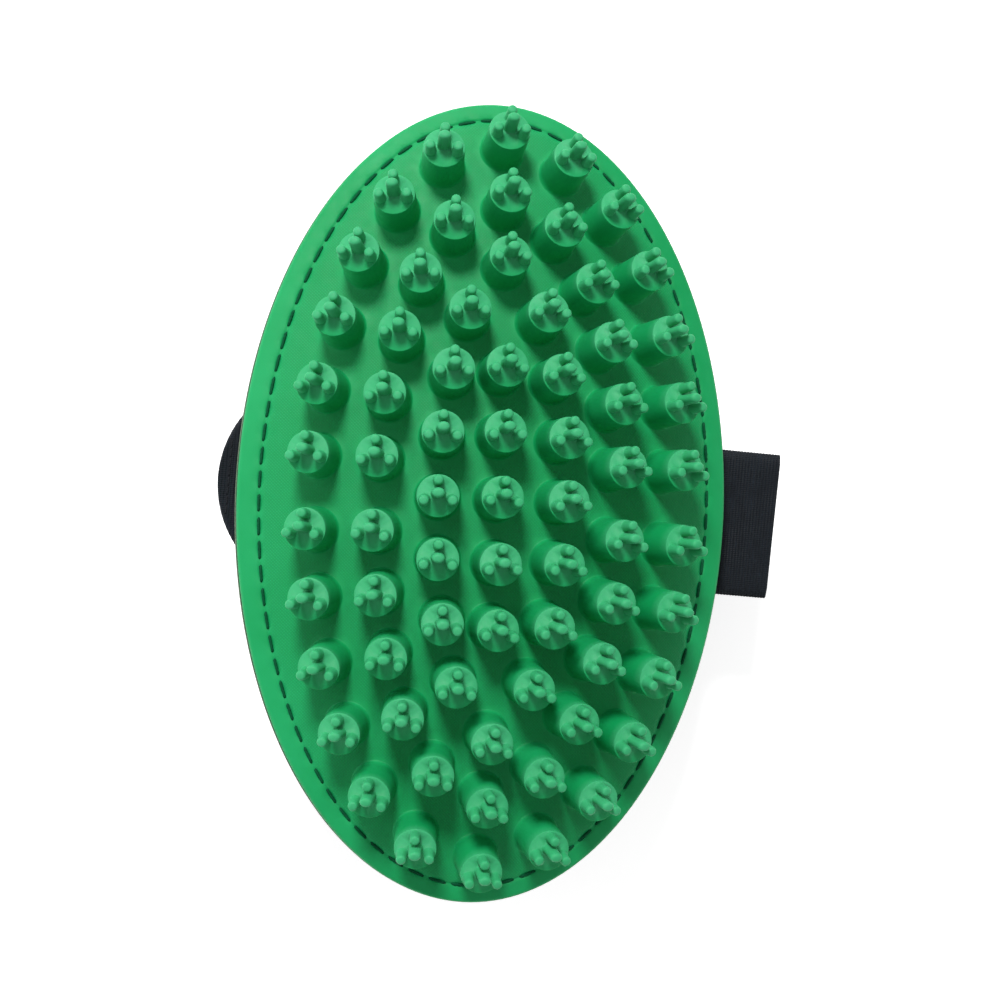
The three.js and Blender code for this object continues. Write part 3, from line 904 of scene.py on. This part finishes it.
def resample(points, step):
    points = np.asarray(points, float)
    length = np.concatenate([[0], np.cumsum(np.linalg.norm(np.diff(points, axis=0), axis=1))])
    count = max(2, int(round(length[-1] / step)) + 1)
    at = np.linspace(0, length[-1], count)
    return np.column_stack([np.interp(at, length, points[:, k]) for k in range(2)])


def ease(points, width):
    """Rounds a path's corners by a moving average, with its ends kept."""
    half = max(1, int(width / 2))
    padded_path = np.concatenate([
        2 * points[0] - points[half:0:-1],
        points,
        2 * points[-1] - points[-2 : -half - 2 : -1],
    ])
    kernel = np.hanning(2 * half + 3)[1:-1]
    kernel /= kernel.sum()
    return np.column_stack([np.convolve(padded_path[:, k], kernel, "valid") for k in range(2)])


def path_normals(points):
    along = np.gradient(points, axis=0)
    along /= np.linalg.norm(along, axis=1)[:, None]
    return np.column_stack([-along[:, 1], along[:, 0]])


def shift_path(points, distances):
    return points + path_normals(points) * np.asarray(distances)[:, None]


def main_path():
    """The whole main strap's lower face, from its rounded end to its square tail."""
    left = arch_path(-1, SEWN_LOW)
    right = arch_path(1, TAIL_LOW)[::-1]
    points = np.concatenate([[(-LEFT_END, SEWN_LOW)], left, right, [(RIGHT_TAIL, TAIL_LOW)]])
    return ease(resample(points, STEP), 2.4 * MM / STEP)


def keeper_path():
    """The keeper's lower face, from its free end under the crown to its sewn end."""
    right = resample(arch_path(1, TAIL_LOW)[::-1], STEP)
    lifts = np.linspace(KEEPER_Z, SEWN_LOW - TAIL_LOW, len(right))
    right = shift_path(right, lifts)
    points = np.concatenate([
        [(KEEPER_TIP, KEEPER_Z)],
        right,
        [(ROOT_INNER - HINGE_GAP, SEWN_LOW), (KEEPER_OUTER, SEWN_LOW)],
    ])
    return ease(resample(points, STEP), 2.4 * MM / STEP)


def strap_section(half_width, half_thick, count=13):
    """Points round a strap's section as (across, up), with thin rounded selvedges."""
    share = np.linspace(-1, 1, count)
    share = np.sin(share * math.pi / 2) * 0.35 + share * 0.65
    across = share * half_width
    inset = np.clip((half_width - abs(across)) / (0.9 * MM), 0, 1)
    up = half_thick * np.sqrt(1 - (1 - inset) ** 2 * 0.92)
    upper = np.column_stack([across, up])
    lower = np.column_stack([across[::-1], -up[::-1]])
    return np.concatenate([upper, lower])


def strap_mesh(name, path, width_at, material, tail_skew=0.0):
    """Ribbed webbing along a path: real ribs across it, with smooth selvedges."""
    normals = path_normals(path)
    length = np.concatenate([[0], np.cumsum(np.linalg.norm(np.diff(path, axis=0), axis=1))])
    middle = path + normals * WEB_THICK / 2
    verts, uvs = [], []
    for i, (along, up) in enumerate(middle):
        half_width = width_at(length[i], length[-1]) / 2
        section = strap_section(half_width, WEB_THICK / 2 - RIB_RISE)
        skew = tail_skew * max(0.0, 1 - (length[-1] - length[i]) / (9 * MM))
        selvedge = np.clip((half_width - abs(section[:, 0])) / (1.4 * MM), 0, 1)
        wave = math.cos(math.tau * length[i] / RIB_PITCH)
        swell = RIB_RISE * wave * selvedge * np.sign(section[:, 1])
        scallop = 0.05 * MM * wave * (1 - selvedge) * np.sign(section[:, 0])
        across = section[:, 0] + scallop
        lift = section[:, 1] + swell
        base = (along + skew * section[:, 0])[:, None] * np.array(ALONG) + np.array([0, 0, up])
        direction = np.array(ALONG) * normals[i][0] + np.array([0, 0, normals[i][1]])
        sideways = (STRAP_SHIFT + across)[:, None] * np.array(ACROSS)
        verts.append(base + sideways + lift[:, None] * direction)
        uvs.append(np.column_stack([np.full(len(section), length[i]), section[:, 0]]))
    sides = len(verts[0])
    faces = []
    for i in range(len(verts) - 1):
        faces += loop_faces(i * sides, (i + 1) * sides, sides)
    last = (len(verts) - 1) * sides
    faces += strip_cap(0, sides) + strip_cap(last, sides)
    piece = make_object(name, np.concatenate(verts), faces, [material])
    add_uv(piece, np.concatenate(uvs))
    return piece


def strip_cap(first, sides):
    """Faces across a strap's end, between its upper and lower points."""
    half = sides // 2
    return [
        (first + k, first + k + 1, first + sides - 2 - k, first + sides - 1 - k)
        for k in range(half - 1)
    ]


def add_uv(piece, per_vertex):
    layer = piece.data.uv_layers.new(name="UVMap")
    corners = np.empty(len(piece.data.loops), np.int32)
    piece.data.loops.foreach_get("vertex_index", corners)
    layer.data.foreach_set("uv", per_vertex[corners].astype(np.float32).ravel())


def corner_width(left, corner):
    """Strap width this far from an end whose corners have this radius."""
    drop = corner - math.sqrt(max(corner**2 - (corner - min(left, corner)) ** 2, 0))
    return STRAP_WIDTH - 2 * drop * 0.9


def rounded_start(length, total):
    """Strap width that starts as an arc, and ends at two crisp corners."""
    width = corner_width(total - length, 0.4 * MM)
    if length < END_RADIUS:
        reach = math.sqrt(max(END_RADIUS**2 - (END_RADIUS - length) ** 2, (0.8 * MM) ** 2))
        width -= STRAP_WIDTH - min(STRAP_WIDTH, 2 * reach)
    return width


def square_ends(length, total):
    return corner_width(min(length, total - length), 0.9 * MM)


def strap_point(along, across, up):
    return ALONG * along + ACROSS * (STRAP_SHIFT + across) + Vector((0, 0, up))


def main_strap(material):
    path = bunch_start(main_path(), 6.4 * MM)
    piece = strap_mesh("main_webbing", path, rounded_start, material, TAIL_SKEW)
    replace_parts(piece, "main_strap", "main_strap_sewn_end")
    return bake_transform(piece)


def bunch_start(path, reach):
    """Closer rows near the rounded end, where the width changes fast."""
    count = int(reach / STEP)
    share = np.linspace(0, 1, count * 2) ** 2
    index = share * (count - 1)
    first = np.column_stack([np.interp(index, np.arange(count), path[:count, k]) for k in range(2)])
    return np.concatenate([first, path[count:]])


def keeper_strap(material):
    piece = strap_mesh("keeper_webbing", keeper_path(), square_ends, material)
    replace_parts(piece, "keeper_strap", "keeper_strap_sewn_end")
    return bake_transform(piece)


# ---- Hook-and-loop tapes


def tape_base(verts, faces, left, right, low, thick):
    """A thin woven backing with rounded edges, added to the lists."""
    columns, rows = 30, 24
    total = len(verts)
    half = TAPE_WIDTH / 2
    for side in (0, 1):
        for i in range(columns + 1):
            for j in range(rows + 1):
                s, t = i / columns, j / rows
                edge = min(s, 1 - s, t, 1 - t)
                soft = 0.12 * MM if edge == 0 else 0.0
                z = low + soft if side == 0 else low + thick - soft
                verts.append(strap_point(left + (right - left) * s, half * (2 * t - 1), z))
    stride = rows + 1
    layer = (columns + 1) * stride
    for i in range(columns):
        for j in range(rows):
            a = total + i * stride + j
            for base in (a, a + layer):
                faces.append((base, base + stride, base + stride + 1, base + 1))
    border = [(i, 0) for i in range(columns)] + [(columns, j) for j in range(rows)]
    border += [(i, rows) for i in range(columns, 0, -1)] + [(0, j) for j in range(rows, 0, -1)]
    ids = [total + i * stride + j for i, j in border]
    for k, first in enumerate(ids):
        following = ids[(k + 1) % len(ids)]
        faces.append((first, following, following + layer, first + layer))


def small_tube(verts, faces, path, radius, sides=4):
    path = [Vector(p) for p in path]
    for i, point in enumerate(path):
        before, after = path[max(0, i - 1)], path[min(len(path) - 1, i + 1)]
        along = (after - before).normalized()
        side = along.cross(ACROSS if abs(along.dot(ACROSS)) < 0.8 else ALONG).normalized()
        up = along.cross(side)
        first = len(verts)
        for k in range(sides):
            angle = k / sides * math.tau
            verts.append(point + (side * math.cos(angle) + up * math.sin(angle)) * radius)
        if i:
            faces += loop_faces(first - sides, first, sides)
    faces.append(tuple(range(first, first + sides)))


def hook_tape(material):
    """Rows of small plastic hooks that point down at the loop tape."""
    verts, faces = [], []
    left, right = -8 * MM, 16 * MM
    top = HOOK_Z + TAPE_THICK
    tape_base(verts, faces, left, right, top - 0.45 * MM, 0.45 * MM)
    pitch = 1.25 * MM
    for i in range(int((right - left - 4 * MM) / pitch) + 1):
        for j in range(int((TAPE_WIDTH - 4 * MM) / pitch) + 1):
            u = left + 2 * MM + i * pitch
            v = -TAPE_WIDTH / 2 + 2 * MM + j * pitch
            bend = 0.3 * MM * (1 if j % 2 else -1)
            root = top - 0.4 * MM
            path = [
                strap_point(u, v, root),
                strap_point(u, v, root - 0.3 * MM),
                strap_point(u + bend * 0.5, v, root - 0.45 * MM),
                strap_point(u + bend, v, root - 0.36 * MM),
            ]
            small_tube(verts, faces, path, 0.09 * MM)
    piece = make_object("hooks", verts, faces, [material])
    return place_piece(piece, "keeper_strap_arm", "hook_plastic", "hook_tape")


def loop_tape(material):
    """A napped tape: a thin backing under a tangle of fine thread loops."""
    verts, faces = [], []
    left, right = -14 * MM, 19 * MM
    tape_base(verts, faces, left, right, LOOP_Z, 0.4 * MM)
    for _ in range(1500):
        u = random.uniform(left + 1 * MM, right - 1 * MM)
        v = random.uniform(-TAPE_WIDTH / 2 + 1 * MM, TAPE_WIDTH / 2 - 1 * MM)
        turn = random.uniform(0, math.tau)
        reach = random.uniform(0.35, 0.8) * MM
        rise = random.uniform(0.25, 0.48) * MM
        base = LOOP_Z + 0.38 * MM
        path = []
        for share, height in ((-0.5, 0), (-0.55, 0.6), (0, 1), (0.55, 0.6), (0.5, 0)):
            du, dv = reach * share * math.cos(turn), reach * share * math.sin(turn)
            path.append(strap_point(u + du, v + dv, base + rise * height))
        small_tube(verts, faces, path, 0.035 * MM, 3)
    piece = make_object("loops", verts, faces, [material])
    return place_piece(piece, "main_strap_arm", "loop_pile", "loop_tape")


# ---- Box and tape stitching


def run_points(corners, pitch):
    """Evenly spaced points along a run of straight lines."""
    points = []
    for (u0, v0), (u1, v1) in zip(corners, corners[1:]):
        count = max(1, round(math.hypot(u1 - u0, v1 - v0) / pitch))
        points += [(u0 + (u1 - u0) * k / count, v0 + (v1 - v0) * k / count) for k in range(count)]
    return points + [corners[-1]]


def box_runs(left, right, half, cross=True):
    corners = [(left, -half), (right, -half), (right, half), (left, half), (left, -half)]
    return corners + [(right, half), (right, -half), (left, half)] if cross else corners


def flat_stitches(name, corners, z, up, material, body, node=None, pitch=3.1 * MM, radius=0.3 * MM):
    points = [np.array(strap_point(u, v, z)) for u, v in run_points(corners, pitch)]
    ups = [np.array([0, 0, up])] * len(points)
    piece = stitches(name, points, ups, material, 0.82, radius, closed=False, sink=0.35 * MM)
    place_piece(piece, body, "black_thread")
    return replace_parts(piece, node) if node else piece


def all_flat_stitches(material):
    half = STRAP_WIDTH / 2 - 3 * MM
    runs = box_runs(-ROOT_INNER - 9 * MM, -ROOT_INNER - 1 * MM, half)
    flat_stitches("main_box", runs, SEWN_LOW, -1.0, material, "pad", "main_box_stitch")
    runs = box_runs(ROOT_INNER + 1 * MM, KEEPER_OUTER - 1 * MM, half)
    flat_stitches("keeper_box", runs, SEWN_LOW, -1.0, material, "pad", "keeper_box_stitch")
    half = TAPE_WIDTH / 2 - 1.5 * MM
    runs = box_runs(-12.5 * MM, 17.5 * MM, half, cross=False)
    flat_stitches(
        "loop_frame", runs, LOOP_Z + 0.42 * MM, 1.0, material, "main_strap_arm", "loop_tape_stitch",
        2.6 * MM, 0.2 * MM,
    )
    runs = box_runs(-6.5 * MM, 14.5 * MM, half, cross=False)
    flat_stitches(
        "hook_frame", runs, HOOK_Z + TAPE_THICK - 0.44 * MM, -1.0, material, "keeper_strap_arm",
        "hook_tape_stitch", 2.6 * MM, 0.2 * MM,
    )
    row = [(-LEFT_END + 2.3 * MM, -8 * MM), (-LEFT_END + 2.3 * MM, 8 * MM)]
    flat_stitches(
        "end_row", row, SEWN_LOW + WEB_THICK - 0.16 * MM, 1.0, material, "pad", None, 1.9 * MM, 0.2 * MM
    )


# ---- Camera, lights and floor

CAMERA_YAW = math.radians(9.4)
CAMERA_PITCH = math.radians(-1.9)
CAMERA_ROLL = math.radians(2.2)
CAMERA_DISTANCE = 420 * MM
VIEW_WIDTH = 215.1 * MM
AIM_RIGHT = 3.85 * MM
AIM_UP = 0.35 * MM


def make_camera():
    turn = Matrix.Rotation(-CAMERA_ROLL, 3, "Z")
    turn = turn @ Matrix.Rotation(CAMERA_PITCH, 3, "X") @ Matrix.Rotation(CAMERA_YAW, 3, "Y")
    back = turn.transposed()
    data = bpy.data.cameras.new("camera")
    data.sensor_width = 36
    data.lens = data.sensor_width * CAMERA_DISTANCE / VIEW_WIDTH
    data.clip_start = 0.01
    data.clip_end = 100
    camera = bpy.data.objects.new("camera", data)
    place = Vector((0, 0, COVER_BASE)) + back @ Vector((AIM_RIGHT, AIM_UP, CAMERA_DISTANCE))
    camera.matrix_world = Matrix.Translation(place) @ back.to_4x4()
    bpy.context.scene.collection.objects.link(camera)
    bpy.context.scene.camera = camera


def area_light(name, place, aim, size, energy):
    data = bpy.data.lights.new(name, "AREA")
    data.shape = "DISK"
    data.size = size
    data.energy = energy
    lamp = bpy.data.objects.new(name, data)
    lamp.location = place
    lamp.rotation_mode = "QUATERNION"
    lamp.rotation_quaternion = (Vector(aim) - Vector(place)).to_track_quat("-Z", "Y")
    bpy.context.scene.collection.objects.link(lamp)


def make_stage(material):
    size = 30.0
    verts = [(-size, -size, 0), (size, -size, 0), (size, size, 0), (-size, size, 0)]
    floor = make_object("floor", verts, [(0, 1, 2, 3)], [material], smooth=False)
    world = bpy.data.worlds.new("studio")
    world.use_nodes = True
    sky = world.node_tree.nodes["Background"]
    sky.inputs["Color"].default_value = (1, 1, 1, 1)
    sky.inputs["Strength"].default_value = 0.50
    bpy.context.scene.world = world
    world.cycles_visibility.glossy = False
    area_light("key", (-0.53, 1.31, 1.73), (0, 0, 0.04), 0.55, 47.0)
    area_light("side", (-0.85, 0.30, 0.55), (0, 0, 0.04), 0.7, 1.6)
    bpy.context.scene.view_settings.view_transform = "Standard"


# ---- Assembly

make_camera()
make_stage(floor_material())

rubber = rubber_material()
webbing = webbing_material()
green_thread = thread_material("dark_green_thread", (0.0005, 0.050, 0.018), (0.002, 0.105, 0.042))
black_thread = thread_material("black_thread", (0.006, 0.007, 0.009), (0.030, 0.032, 0.038))

face_moulding(rubber)
face_seam(green_thread)
back_seam(green_thread)
foam_core(foam_material())
back_cover(cover_material(), cover_edge_material())
main_strap(webbing)
keeper_strap(webbing)
hook_tape(tape_material("hook_plastic", (0.006, 0.007, 0.009), (0.03, 0.033, 0.04), 0.45))
loop_tape(tape_material("loop_pile", (0.012, 0.014, 0.019), (0.05, 0.055, 0.065), 0.9))
all_flat_stitches(black_thread)
